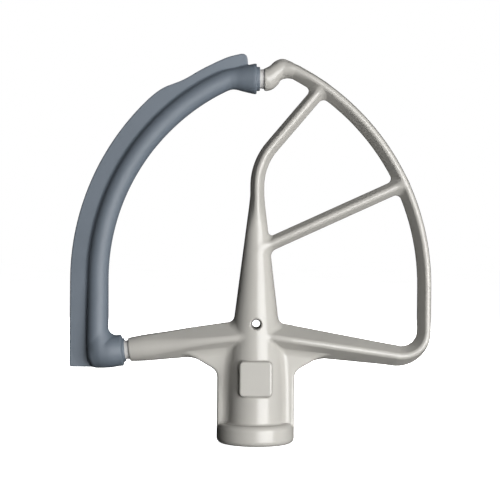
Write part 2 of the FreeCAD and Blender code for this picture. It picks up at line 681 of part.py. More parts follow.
frame = doc.addObject("Part::Fillet", "beater_frame")
frame.Base = machined
frame.Edges = [(i, d("drain_round"), d("drain_round")) for i, e in enumerate(machined.Shape.Edges, 1)
               if at_drain_mouth(e) and e.Length > 1.0 and abs(e.BoundBox.YMax - e.BoundBox.YMin) < 2.0]
frame.Label = "beater_frame"
doc.recompute()
print("frame", frame.Edges, frame.isValid(), frame.Shape.isValid() if not frame.Shape.isNull() else None)


# ------------------------------------------------------------ flexible edge
tube = swept("edge_tube", d("tube_radius"), d("upper_cuff_x") - d("upper_plain"), low_b + axis * 1.0)


def flared(name):
    """Turned flare that leaves the tube tangent to it and opens to the cuff."""
    small, big, run = d("tube_radius"), d("cuff_radius"), d("upper_flare")
    wide = d("upper_cuff_x") - d("upper_plain")
    slim, z = wide - run, d("boss_z")
    bow = (run ** 2 + (big - small) ** 2) / (2 * (big - small))
    half = math.asin(run / bow) / 2
    wire = Part.Wire([
        Part.LineSegment(at(slim, z), at(slim, z + small)).toShape(),
        Part.Arc(at(slim, z + small), at(slim + bow * math.sin(half), z + small + bow * (1 - math.cos(half))),
                 at(wide, z + big)).toShape(),
        Part.LineSegment(at(wide, z + big), at(wide, z)).toShape(),
        Part.LineSegment(at(wide, z), at(slim, z)).toShape(),
    ])
    return feature(name, Part.Face(wire).revolve(at(wide, z), Vector(1, 0, 0), 360))


flare = flared("upper_flare_turned")
cuff_up = primitive("Part::Cylinder", "upper_cuff", {"Radius": "dims.cuff_radius", "Height": "dims.upper_plain"},
                    at(d("upper_cuff_x"), d("boss_z")), Vector(-1, 0, 0))
lip_up = primitive("Part::Cylinder", "upper_lip_ring", {"Radius": "dims.lip_radius", "Height": "dims.upper_lip + 1"},
                   at(d("upper_cuff_x") + d("upper_lip"), d("boss_z")), Vector(-1, 0, 0))
lip_low = primitive("Part::Cylinder", "lower_lip_ring", {"Radius": "dims.lip_radius", "Height": "dims.lower_lip + 1"},
                    end - axis * d("lower_gap"), axis * -1)
cuff_blank = primitive("Part::Cylinder", "lower_cuff_blank", {"Radius": "dims.cuff_radius", "Height": "dims.lower_cuff"},
                       end - axis * (d("lower_gap") + d("lower_lip")), axis * -1)
doc.recompute()
far = end - axis * (d("lower_gap") + d("lower_lip") + d("lower_cuff"))
cuff_low = doc.addObject("Part::Fillet", "lower_cuff_body")
cuff_low.Base = cuff_blank
cuff_low.Edges = [(i, d("lower_cuff_round"), d("lower_cuff_round")) for i, e in enumerate(cuff_blank.Shape.Edges, 1)
                  if isinstance(e.Curve, Part.Circle) and e.Curve.Center.distanceToPoint(far) < 1e-3]

OUTLINE = [  # wiping edge from the upper cuff to where its long arc starts
    (-4.7, 170.4), (-4.9, 172.6), (-5.6, 174.1), (-7.2, 174.7), (-9.9, 174.2), (-13.5, 173.2), (-17.1, 171.7),
    (-20.6, 170.0), (-24.2, 168.2), (-27.8, 166.2), (-31.4, 164.0), (-35.0, 162.2), (-38.6, 160.8),
    (-42.1, 159.4), (-45.7, 157.1),
]
bcx, bcz, br = d("blade_cx"), d("blade_cz"), d("blade_radius")
arc_from = rad(133.75)
arc_start = at(bcx + br * math.cos(arc_from), bcz + br * math.sin(arc_from))
edge_points = [at(x, z) for x, z in OUTLINE] + [arc_start]
for k in range(1, 9):
    ang = arc_from + (math.pi - arc_from) * k / 8
    edge_points.append(at(bcx + br * math.cos(ang), bcz + br * math.sin(ang)))
wave = Part.BSplineCurve()
wave.interpolate(edge_points)
low = d("blade_low")
inner = core_path(OUTLINE[0][0], low_b + axis).Edges[:4]
outline = Part.Wire([
    Part.LineSegment(at(OUTLINE[0][0], d("boss_z")), at(*OUTLINE[0])).toShape(), wave.toShape(),
    Part.LineSegment(at(bcx - br, bcz), at(bcx - br, low)).toShape(),
    Part.LineSegment(at(bcx - br, low), at(straight_x, low)).toShape(),
    Part.LineSegment(at(straight_x, low), low_a).toShape(),
] + [e for e in reversed(inner)])
sheet_face = Part.Face(outline)
half_t = d("blade_thickness") / 2
sheet_face.translate(Vector(0, -half_t, 0))
plate = sheet_face.extrude(Vector(0, 2 * half_t, 0))


def on_wiping_edge(e):
    p = e.valueAt((e.FirstParameter + e.LastParameter) / 2)
    if abs(abs(p.y) - half_t) > 1e-4 or max(abs(abs(v.Point.y) - half_t) for v in e.Vertexes) > 1e-4:
        return False
    q = at(p.x, p.z)
    return Part.Vertex(q).distToShape(wave.toShape())[0] < 1e-3 or (
        abs(q.x - (bcx - br)) < 1e-3) or (abs(q.z - low) < 1e-3)


rim_edges = [e for e in plate.Edges if on_wiping_edge(e)]
blade = feature("wiping_blade", plate.makeFillet(d("blade_edge"), rim_edges))
doc.recompute()
edge_blank = joined("edge_blank", [tube, flare, cuff_up, lip_up, lip_low, cuff_low, blade])
doc.recompute()
print("plate", plate.isValid(), len(rim_edges), blade.Shape.isValid(), "edge blank", edge_blank.Shape.isValid(), len(edge_blank.Shape.Solids), edge_blank.Shape.Volume)
flexible = edge_blank
flexible = joint_fillet("blade_root_fillet", flexible, blade, tube, "blade_fillet")
flex = doc.addObject("Part::Cut", "flex_edge")
flex.Base = flexible
flex.Tool = frame
flex.Refine = False
flex.Label = "flex_edge"
doc.recompute()

# ------------------------------------------------------------ checks and export
NODES = [frame, flex]
bad = [o.Name for o in doc.Objects if "Invalid" in o.State or "Error" in o.State]
if bad:
    raise RuntimeError(f"failed objects: {bad}")
for node in NODES:
    if node.Shape.isNull() or not node.Shape.isValid() or len(node.Shape.Solids) != 1:
        raise RuntimeError(f"{node.Label}: no single valid solid")
os.makedirs("parts", exist_ok=True)
for node in NODES:
    node.Shape.exportStep(f"parts/{node.Label}.step")
    print(node.Label, round(node.Shape.Volume, 1), "mm3", len(node.Shape.Faces), "faces")
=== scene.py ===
import math

import bmesh
import bpy
import numpy as np
from mathutils import Matrix, Vector


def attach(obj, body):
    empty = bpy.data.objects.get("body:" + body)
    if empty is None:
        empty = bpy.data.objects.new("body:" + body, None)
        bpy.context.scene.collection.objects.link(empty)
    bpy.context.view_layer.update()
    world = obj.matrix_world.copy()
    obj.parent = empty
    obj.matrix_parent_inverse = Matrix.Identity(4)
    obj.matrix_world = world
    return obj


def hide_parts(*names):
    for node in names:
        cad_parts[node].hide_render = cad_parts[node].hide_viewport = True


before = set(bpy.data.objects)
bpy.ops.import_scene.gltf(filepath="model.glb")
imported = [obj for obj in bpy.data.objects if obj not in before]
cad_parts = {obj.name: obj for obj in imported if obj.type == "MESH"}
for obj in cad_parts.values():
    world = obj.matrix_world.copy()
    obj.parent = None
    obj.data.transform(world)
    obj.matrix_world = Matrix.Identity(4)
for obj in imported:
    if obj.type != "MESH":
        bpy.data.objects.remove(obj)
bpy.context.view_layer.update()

scene = bpy.context.scene

# Lattice pitch in millimetres for the two skinned pieces.
CAST_PITCH = 0.62
EDGE_PITCH = 0.5


# ---------------------------------------------------------------- distance fields (mm)
def rad(deg):
    return math.radians(deg)


def join(a, b, r):
    """Union of two solids with a rolled fillet of radius r along the joint."""
    u, v = np.maximum(r - a, 0), np.maximum(r - b, 0)
    return np.maximum(r, np.minimum(a, b)) - np.sqrt(u * u + v * v)


def meet(a, b, r):
    """Intersection of two solids with the common edge rounded by r."""
    u, v = np.maximum(r + a, 0), np.maximum(r + b, 0)
    return np.minimum(-r, np.maximum(a, b)) + np.sqrt(u * u + v * v)


def carve(a, b, r):
    """Solid a less solid b, with the mouth rounded by r."""
    return meet(a, -b, r)


def crest_of(a, b, r, c):
    """Two facets whose normals have the dot product c, met by a rolled crest of radius r."""
    a, b = a + r, b + r
    apex = (a > c * b) & (b > c * a)
    tip = np.sqrt(np.maximum(a * a + b * b - 2 * c * a * b, 0) / (1 - c * c))
    return np.where(apex, tip, np.maximum(a, b)) - r


def rhombus(u, v, a, b):
    a, b = np.maximum(a, 0.02), np.maximum(b, 0.02)
    h = np.clip(((a - 2 * u) * a - (b - 2 * v) * b) / (a * a + b * b), -1, 1)
    du, dv = u - 0.5 * a * (1 - h), v - 0.5 * b * (1 + h)
    return np.sqrt(du * du + dv * dv) * np.sign(u * b + v * a - a * b)


def boxed(points, lo, hi, fn, margin=5.0):
    """Value of fn near its box, and a large distance elsewhere."""
    out = np.full(len(points), margin)
    keep = np.all((points > np.array(lo) - margin) & (points < np.array(hi) + margin), axis=1)
    if keep.any():
        out[keep] = fn(points[keep])
    return out


class Sweep:
    """Bar along a line in the XZ plane. Each station is across, height, half width,
    half depth and ridge rounding; a ridge equal to both halves makes it round."""

    def __init__(self, stations):
        s = np.array(stations, float)
        self.line, self.half, self.depth, self.ridge = s[:, :2], s[:, 2], s[:, 3], s[:, 4]
        w = np.maximum(self.half, self.depth).max()
        d = self.depth.max() + 2.0
        self.lo = (self.line[:, 0].min() - w, -d, self.line[:, 1].min() - w)
        self.hi = (self.line[:, 0].max() + w, d, self.line[:, 1].max() + w)

    def locate(self, p):
        """Signed distance from the line, positive on its left, and place along it."""
        px, pz = p[:, 0], p[:, 2]
        best = np.full(len(p), 1e9)
        pos = np.zeros(len(p))
        side = np.zeros(len(p))
        for i in range(len(self.line) - 1):
            (ax, az), (bx, bz) = self.line[i], self.line[i + 1]
            ex, ez = bx - ax, bz - az
            t = np.clip(((px - ax) * ex + (pz - az) * ez) / (ex * ex + ez * ez), 0, 1)
            qx, qz = px - ax - t * ex, pz - az - t * ez
            q = qx * qx + qz * qz
            m = q < best
            best[m] = q[m]
            pos[m] = (i + t)[m]
            side[m] = (ex * qz - ez * qx)[m]
        return np.where(side < 0, -1, 1) * np.sqrt(best), pos

    def faceted(self, u, y, pos):
        n = np.arange(len(self.line))
        half, depth, ridge = (np.interp(pos, n, k) for k in (self.half, self.depth, self.ridge))
        ridge = np.minimum(ridge, np.minimum(half, depth) - 0.02)
        return rhombus(np.abs(u), np.abs(y), half - ridge, depth - ridge) - ridge

    def inner(self, p):
        u, pos = self.locate(p)
        return self.faceted(u, p[:, 1], pos)

    def __call__(self, p):
        return boxed(p, self.lo, self.hi, self.inner)


class WedgeSweep(Sweep):
    """Bar with a flat facet on its left side and another on its right side, each given by
    its tilt from the front, and a rolled crest between them. The last station value
    says how far the section is round instead."""

    def __init__(self, stations):
        super().__init__([s[:5] for s in stations])
        s = np.array(stations, float)
        self.left, self.right, self.crest, self.round = s[:, 5], s[:, 6], s[:, 7], s[:, 8]

    def inner(self, p):
        u, pos = self.locate(p)
        n = np.arange(len(self.line))
        half, left, right, crest, rnd = (np.interp(pos, n, k) for k in (self.half, self.left, self.right, self.crest, self.round))
        left, right = np.radians(left), np.radians(right)
        soft = 0.55
        y = np.sqrt(p[:, 1] ** 2 + soft ** 2)
        a = (u - half) * np.sin(left) + (y - soft) * np.cos(left)
        b = (-u - half) * np.sin(right) + (y - soft) * np.cos(right)
        c = np.cos(left) * np.cos(right) - np.sin(left) * np.sin(right)
        return mix(crest_of(a, b, crest, c), self.faceted(u, p[:, 1], pos), rnd)


class Outline:
    """Closed outline in the XZ plane; distance is negative inside."""

    def __init__(self, corners):
        self.pts = np.array(corners, float)

    def __call__(self, px, pz):
        best = np.full(len(px), 1e9)
        inside = np.zeros(len(px), bool)
        n = len(self.pts)
        for i in range(n):
            (ax, az), (bx, bz) = self.pts[i], self.pts[(i + 1) % n]
            ex, ez = bx - ax, bz - az
            wx, wz = px - ax, pz - az
            t = np.clip((wx * ex + wz * ez) / (ex * ex + ez * ez), 0, 1)
            best = np.minimum(best, (wx - t * ex) ** 2 + (wz - t * ez) ** 2)
            if ez != 0:
                cross = ((az > pz) != (bz > pz)) & (px < ax + (pz - az) / ez * ex)
                inside ^= cross
        return np.where(inside, -1, 1) * np.sqrt(best)


def catmull(rows, per=5):
    """Smooth run of stations through the given ones."""
    k = np.array(rows, float)
    k = np.vstack([2 * k[0] - k[1], k, 2 * k[-1] - k[-2]])
    out = []
    for i in range(1, len(k) - 2):
        for t in np.arange(per) / per:
            a, b, c, d = k[i - 1], k[i], k[i + 1], k[i + 2]
            out.append(0.5 * (2 * b + (c - a) * t + (2 * a - 5 * b + 4 * c - d) * t * t + (3 * b - a - 3 * c + d) * t ** 3))
    out.append(k[-2])
    return [tuple(r) for r in out]


def ease(t):
    t = np.clip(t, 0, 1)
    return t * t * (3 - 2 * t)


def mix(a, b, k):
    return a + (b - a) * k


# ---------------------------------------------------------------- casting, line by line
ARM_Z = 48.2
BOSS = 5.3
BOSS_X, BOSS_Z = 2.73, 163.4
LEFT_END = np.array([-57.0, 41.17])
LEFT_SLOPE = rad(7.16)
NECK_SLOPE = rad(5.5)
RIM_DEPTH, BAR_HALF, BAR_DEPTH, BAR_ROUND, ARM_ROUND = 5.2, 3.15, 3.4, 2.85, 2.1


def rim_station(ang):
    c, s = math.cos(rad(ang)), math.sin(rad(ang))
    ox, oz = -32.58 + 111.24 * c, 70.60 + 111.24 * s
    ix, iz = -31.55 + 103.87 * c, 70.76 + 103.87 * s
    return ((ox + ix) / 2, (oz + iz) / 2, math.hypot(ox - ix, oz - iz) / 2, RIM_DEPTH, 1.8, 57.5, mix(79.5, 76.0, np.clip((ang - 10) / 40, 0, 1)), mix(1.45, 1.65, np.clip(ang / 50, 0, 1)), 0.0)


def right_line():
    """Right arm, lower corner, rim and hooked boss. The arm is an even wedge, the rim
    has an upright outer wall and a tapered inner side, and the boss is round."""
    rows = [(0.0, ARM_Z, 7.42, 9.6, 1.9, 55.0, 50.5, 1.9, 0.0), (7.0, 47.23, 7.12, 9.4, 1.85, 58.0, 54.0, 1.85, 0.0),
            (16.0, 45.98, 6.75, 9.2, 1.8, 61.0, 56.5, 1.8, 0.0),
            (30.0, 44.04, 6.12, 8.2, 1.8, 62.5, 57.5, 1.8, 0.0), (57.5, 40.29, 4.82, 6.4, 1.8, 62.0, 58.0, 1.8, 0.0)]
    for ang in np.arange(-97, -1, 6.0):
        k = (ang + 97) / 97
        r = mix(11.28, 10.9, max(0.0, (ang + 91) / 91))
        half = 3.17 + 1.51 * (-ang / 97) ** 1.45
        rows.append((64.55 + r * math.cos(rad(ang)), 50.65 + r * math.sin(rad(ang)), half,
                     mix(6.2, RIM_DEPTH, k), 1.9, mix(62.0, 57.5, k), mix(58.0, 79.5, float(ease(k * 1.1))), mix(1.8, 1.45, k), 0.0))
    x0, z0, half0 = rim_station(0)[:3]
    rows += [(x0, mix(50.65, z0, t), half0) + rim_station(0)[3:] for t in (0.0, 0.33, 0.66)]
    rows += [rim_station(a) for a in np.arange(0, 56.1, 2.0)]
    hook = [  # across, height, half width, half depth, ridge, roundness
        (17.14, 166.38, 3.36, 4.7, 2.6, 0.45), (15.7, 166.9, 3.45, 4.75, 2.8, 0.6), (14.37, 167.33, 3.73, 4.8, 3.0, 0.75),
        (13.18, 167.65, 4.05, 4.85, 3.2, 0.88), (12.0, 167.83, 4.33, 4.9, 3.4, 1.0), (10.87, 167.97, 4.53, 4.95, 3.6, 1.0),
        (9.72, 167.57, 4.43, 5.0, 3.7, 1.0), (8.7, 166.88, 4.23, 5.0, 3.8, 1.0), (7.75, 166.2, 4.05, 5.05, 3.8, 1.0),
        (6.8, 165.42, 4.28, 5.1, 4.0, 1.0), (5.9, 164.6, 4.7, 5.15, 4.4, 1.0), (4.9, 163.9, 5.0, 5.2, 4.8, 1.0),
        (3.9, 163.42, 5.28, 5.3, 5.2, 1.0), (2.7, BOSS_Z, BOSS, BOSS, BOSS, 1.0), (0.0, BOSS_Z, BOSS, BOSS, BOSS, 1.0),
    ]
    hook = [rim_station(58.0), rim_station(59.5)[:8] + (0.15,)] + [h[:5] + (57.5, 76.0, 1.8, h[5]) for h in hook]
    return rows + catmull(hook, 3)


def left_line():
    u = np.array([math.cos(LEFT_SLOPE), math.sin(LEFT_SLOPE)])
    rows = [(0.0, ARM_Z, 7.45, 9.3, 2.3), (-14.0, 46.62, 7.05, 8.7, 2.1), (-22.0, 45.65, 6.82, 8.2, 2.4), (-30.0, 44.68, 6.56, 7.6, 3.0)]
    for dist, half, depth, ridge in ((22.0, 6.42, 7.1, 3.7), (17.0, 6.22, 6.7, 4.4), (12.0, 6.08, 6.35, 5.0), (7.0, 5.92, 6.05, 5.4),
                                     (2.5, 5.55, 5.6, 5.4), (0.0, BOSS, BOSS, BOSS), (-2.5, BOSS, BOSS, BOSS)):
        x, z = LEFT_END + u * dist
        rows.append((x, z, half, depth, ridge))
    return rows


BAR = (BAR_HALF, 4.0, BAR_ROUND, 61.0, 61.0, 1.6, 0.0)


def spine_line():
    """Round barrel and conical spine, and the wedge-shaped bar it turns into, up to the rim."""
    rows = []
    for z in list(np.arange(4.0, 109.0, 2.5)) + [111.0, 113.0, 115.4]:
        a, b = 13.05 - 0.0111 * (z - 8.9), 12.79 - 0.1241 * (z - 32.4)
        cone = max(min(a, b) - 0.25 * max(0.0, 1 - abs(a - b) / 1.0) ** 2, BAR_HALF)
        k = float(ease((z - 90) / 20))
        rows.append((0.0, z, cone, mix(cone, max(cone, 4.0), k), cone, 61.0, 61.0, mix(cone, 1.6, k), 1 - k))
    us, ub = rad(50.0), 27.0
    low = 125.3 - ub * math.tan(rad(20.0))
    for ang in np.arange(2.5, 40.1, 2.5):
        rows.append((ub - ub * math.cos(rad(ang)), low + ub * math.sin(rad(ang))) + BAR)
    rows.append((43.0 * math.cos(us), 125.3 + 43.0 * math.sin(us)) + BAR)
    return rows


def core_line():
    """Centre line of the slim bar inside the flexible edge, from the upper boss to the left arm."""
    ecx, ecz, er, eb = 27.65, 73.33, 98.7, 15.75
    bz = BOSS_Z - eb
    reach = math.sqrt((er - eb) ** 2 - (bz - ecz) ** 2)
    bx = ecx - reach
    jx, jz = ecx - reach * er / (er - eb), ecz + (bz - ecz) * er / (er - eb)
    pts = [(BOSS_X + 1.0, BOSS_Z), (0.0, BOSS_Z), (-3.0, BOSS_Z)]
    a0, a1 = math.pi / 2, math.atan2(jz - bz, jx - bx)
    pts += [(bx + eb * math.cos(a), bz + eb * math.sin(a)) for a in np.linspace(a0, a1, 8)]
    b0 = math.atan2(jz - ecz, jx - ecx)
    pts += [(ecx + er * math.cos(a), ecz + er * math.sin(a)) for a in np.linspace(b0, math.pi, 40)[1:]]
    sx = ecx - er
    ux, uz = math.cos(NECK_SLOPE), math.sin(NECK_SLOPE)
    mx, mz = sx, LEFT_END[1] + uz * (sx - LEFT_END[0]) / ux
    bend = 4.6
    turn = bend * math.tan((math.pi / 2 + NECK_SLOPE) / 2)
    cx, cz = sx + bend, mz + turn
    pts += [(cx + bend * math.cos(a), cz + bend * math.sin(a)) for a in np.linspace(math.pi, 1.5 * math.pi + NECK_SLOPE, 9)]
    return pts


CORE = core_line()
U_NECK = np.array([math.cos(NECK_SLOPE), math.sin(NECK_SLOPE)])
core_bar = Sweep([(x, z, 3.0, 3.0, 3.0) for x, z in CORE + [tuple(LEFT_END + U_NECK * 1.5)]])
right_bar = WedgeSweep(right_line())
left_bar = Sweep(left_line())
spine = WedgeSweep(spine_line())
CS = rad(24.8)
cross_bar = WedgeSweep([(34.64 + t * math.cos(CS), 102.36 + t * math.sin(CS)) + BAR for t in (-37.0, 32.2)])


def rib_outline(sign):
    """Rib beside the barrel with its gusset, whose inner corner is rounded by 5 mm."""
    r, x, z = 5.0, 17.3, 32.1
    g = math.atan2(41.2 - z, 33.0 - x)
    t = r * math.tan((math.pi / 2 - g) / 2)
    cx, cz = x + r, z - t
    arc = [(cx + r * math.cos(a), cz + r * math.sin(a)) for a in np.linspace(math.pi, math.pi / 2 + g, 8)]
    pts = [(0, 7.2), (x, 7.2)] + arc + [(34.5, 42.0), (34.5, 46.0), (0, 46.0)]
    return Outline([(sign * a, b) for a, b in pts])


ribs = (rib_outline(1), rib_outline(-1))


def along(p, origin, direction):
    """Distance along an axis in the XZ plane, and distance from it."""
    wx, wz = p[:, 0] - origin[0], p[:, 2] - origin[1]
    t = wx * direction[0] + wz * direction[1]
    s = -wx * direction[1] + wz * direction[0]
    return t, np.sqrt(s * s + p[:, 1] ** 2)


def necks(p):
    t, r = along(p, (BOSS_X + 1.0, BOSS_Z), (-1.0, 0.0))
    up = np.maximum(np.maximum(r - 4.3, -t), t - 8.5)
    t, r = along(p, LEFT_END + U_NECK, -U_NECK)
    low = np.maximum(np.maximum(r - 4.3, -t), t - 8.5)
    return np.minimum(up, low)


def pad(p):
    """Raised pad on the front of the barrel."""
    r = 1.8
    qx, qz = np.abs(p[:, 0]) - (7.25 - r), np.abs(p[:, 2] - 29.45) - (7.75 - r)
    flat = np.sqrt(np.maximum(qx, 0) ** 2 + np.maximum(qz, 0) ** 2) + np.minimum(np.maximum(qx, qz), 0) - r
    return np.maximum(meet(flat, -p[:, 1] - 13.75, 0.75), p[:, 1] + 6.0)


def rib_field(p):
    out = np.minimum(ribs[0](p[:, 0], p[:, 2]), ribs[1](p[:, 0], p[:, 2]))
    return meet(out, np.abs(p[:, 1]) - 3.6, 1.1)


def socket(p):
    """Shaft socket with its pin slot."""
    x, y, z = p.T
    r = np.sqrt(x * x + y * y)
    bore = np.maximum(r - 6.5, z - 49.5)
    tip = np.maximum(np.maximum((r - 6.5 + 1.2045 * (z - 49.5)) / 1.566, r - 6.5), np.maximum(49.0 - z, z - 53.9))
    mouth = np.maximum((r - 7.3 + z) / 1.4142, z - 2.0)
    reach = r - 9.4
    straight = np.maximum(np.maximum(np.abs(y) - 2.6, z - 27.0), np.maximum(reach, -x))
    a = np.arctan2(y, x)
    turn = np.maximum(np.maximum(np.abs(a - rad(30)) - rad(30), 0) * np.maximum(r, 0.1), np.maximum(np.abs(z - 24.4) - 2.6, reach))
    c, s = math.cos(rad(60)), math.sin(rad(60))
    seat = np.maximum(np.maximum(np.abs(-x * s + y * c) - 2.6, np.abs(z - 23.2) - 3.8), np.maximum(reach, -(x * c + y * s)))
    return np.minimum(np.minimum(np.minimum(bore, tip), mouth), np.minimum(np.minimum(straight, turn), seat))


def casting_field(p):
    x, y, z = p.T
    r = np.sqrt(x * x + y * y)
    collar = meet(meet(r - 17.4, z - 8.9, 2.5), -z, 2.25)
    bar = np.maximum(spine(p), 3.0 - z)
    rib = boxed(p, (-36, -4, 5), (36, 4, 47), rib_field)
    body = np.minimum(join(collar, bar, 1.2), np.minimum(join(bar, rib, 2.5), join(collar, rib, 0.5)))
    right = right_bar(p)
    right = meet(right, np.where(z > 150, BOSS_X - x, -10.0), 0.5)
    left = left_bar(p)
    cut = -((x - LEFT_END[0]) * math.cos(LEFT_SLOPE) + (z - LEFT_END[1]) * math.sin(LEFT_SLOPE))
    left = meet(left, cut, 0.5)
    body = join(body, np.minimum(left, right), 2.2 - 1.3 * ease((np.abs(y) - 3.0) / 4.0))
    body = join(body, boxed(p, (-8, -14, 21), (8, -6, 38), pad), 0.8)
    body = join(body, cross_bar(p), 2.2)
    low_neck = np.minimum(boxed(p, (-68, -5, 33), (3, 5, 170), necks), core_bar(p))
    body = join(body, low_neck, 0.3)
    body = carve(body, boxed(p, (-10, -10, 0), (10, 10, 55), socket), 0.35)
    hole = np.sqrt(x * x + (z - 53.5) ** 2) - 1.52 - 0.085 * np.abs(p[:, 1])
    return carve(body, hole, 0.6)


# ---------------------------------------------------------------- flexible edge
def tube_line():
    """The rounded spine follows the bar, set a quarter of a millimetre outwards."""
    rows = [(-1.9, BOSS_Z, 4.6, 4.6, 4.6)]
    for x, z in CORE[2:]:
        k = 0.25 * float(ease((-4.0 - x) / 25.0))
        a = math.atan2(max(z, 73.33) - 73.33, x - 27.65)
        r = 4.6 + 0.5 * k
        rows.append((x + k * math.cos(a), z + k * math.sin(a), r, r + 2.1 * float(ease((60.0 - z) / 14.0)), r))
    return rows


tube = Sweep(tube_line())
BCX, BCZ, BR, BLOW = 28.82, 72.79, 112.72, 33.2


def blade_outline():
    top = [(-4.7, 166.0), (-4.7, 170.4), (-4.9, 172.6), (-5.6, 174.1), (-7.2, 174.7), (-9.9, 174.2), (-13.5, 173.2), (-17.1, 171.7),
           (-20.6, 170.0), (-24.2, 168.2), (-27.8, 166.2), (-31.4, 164.0), (-35.0, 162.2), (-38.6, 160.8),
           (-42.1, 159.4), (-45.7, 157.1)]
    a0 = rad(133.75)
    arc = [(BCX + BR * math.cos(a), BCZ + BR * math.sin(a)) for a in np.linspace(a0, math.pi, 36)]
    smooth = [(x, z) for x, z in catmull(top[1:] + [arc[0]], 4)] + arc[1:]
    low = [(BCX - BR, BLOW + 1.0), (BCX - BR + 0.3, BLOW + 0.3), (BCX - BR + 1.0, BLOW), (-73.0, BLOW), (-71.05, 40.0)]
    inner = [c for c in reversed(CORE) if c[1] > 50 and c[0] < -4.7]
    return Outline([(-4.7, BOSS_Z)] + smooth + low + inner)


blade_shape = blade_outline()
CUFF_X = [-14.0, -11.5, -9.8, -8.4, -7.1, -5.7, -4.4, -3.0, -1.8, -0.5]
CUFF_R = [3.6, 4.4, 4.85, 5.25, 5.62, 5.95, 6.25, 6.55, 6.8, 6.85]


def upper_cuff(p):
    x = p[:, 0]
    r = np.sqrt(p[:, 1] ** 2 + (p[:, 2] - BOSS_Z) ** 2)
    cuff = meet(meet((r - np.interp(x, CUFF_X, CUFF_R)) * 0.95, x + 0.69, 0.4), -x - 14.0, 0.1)
    lip = meet(meet(r - 5.4, x - 0.79, 0.3), -x - 3.0, 0.1)
    return np.minimum(cuff, lip)


def lower_cuff(p):
    t, r = along(p, LEFT_END - U_NECK * 3.0, -U_NECK)
    return meet(meet(r - 7.05, -t, 0.45), t - 15.6, 4.0)


def lower_lip(p):
    t, r = along(p, LEFT_END - U_NECK * 3.0, -U_NECK)
    return meet(meet(r - 5.4, -t - 1.2, 0.3), t - 3.0, 0.1)


def blade(p):
    """Wiping blade, thicker at its root than at its tip."""
    half = np.clip(1.18 - 0.07 * tube.inner(p), 0.65, 1.18)
    return meet(blade_shape(p[:, 0], p[:, 2]), np.abs(p[:, 1]) - half, 0.55)


def edge_field(p):
    x, y, z = p.T
    pipe = join(tube(p), boxed(p, (-14, -7, 156), (1, 7, 171), upper_cuff), 0.6)
    cuff = boxed(p, (-76, -7, 32), (-59, 7, 48), lower_cuff)
    corner = 0.6 + 3.6 * ease((x + 75.0) / 6.0)
    body = join(pipe, cuff, corner)
    root = 0.35 + 0.75 * ease((z - 44.0) / 10.0) * (1.0 - 0.6 * ease((x + 30.0) / 20.0))
    body = join(body, boxed(p, (-84, -1.1, 33), (-4, 1.1, 175), blade), root)
    body = np.minimum(body, boxed(p, (-64, -6, 34), (-57, 6, 48), lower_lip))
    inside = np.minimum(boxed(p, (-68, -5, 33), (3, 5, 170), necks), core_bar(p))
    return carve(body, inside, 0.05)


